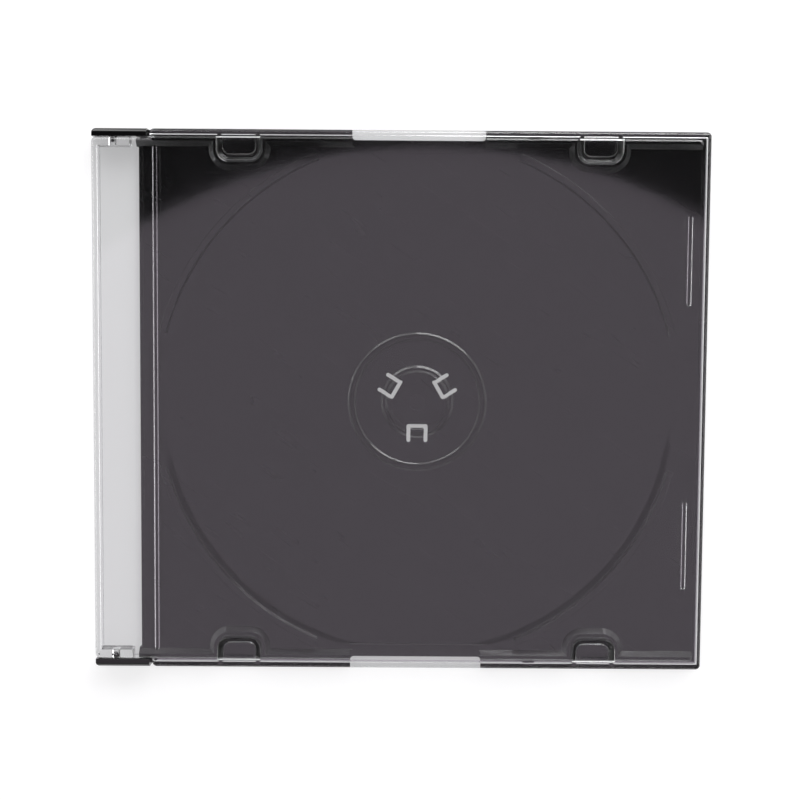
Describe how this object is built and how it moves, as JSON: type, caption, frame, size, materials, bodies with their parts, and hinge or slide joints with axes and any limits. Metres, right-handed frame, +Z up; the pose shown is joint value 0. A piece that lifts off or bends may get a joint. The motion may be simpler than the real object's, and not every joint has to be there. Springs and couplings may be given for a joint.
{
  "type": "slim cd jewel case",
  "caption": "Slim hinged case for one disc: black tray with a central spring hub under a clear lid that turns on two moulded pins.",
  "frame": {"origin": "middle of the closed case's outline, on the flat underside of the tray", "axes": "+X from the spine to the opening edge, +Y along the spine, +Z up through the lid"},
  "size_m": [0.142, 0.125, 0.0052],
  "materials": {
    "black_polystyrene": "opaque black polystyrene as it comes from a polished mould",
    "clear_polystyrene": "clear polystyrene as it comes from a polished mould"
  },
  "bodies": {
    "base": {"base_tray": "black_polystyrene"},
    "lid": {"lid": "clear_polystyrene"}
  },
  "joints": [
    {"name": "lid_hinge", "type": "hinge", "parent": "base", "child": "lid", "pos_m": [-0.0663, 0, 0.0026], "axis": [0, -1, 0], "range_deg": [0, 180]}
  ]
}
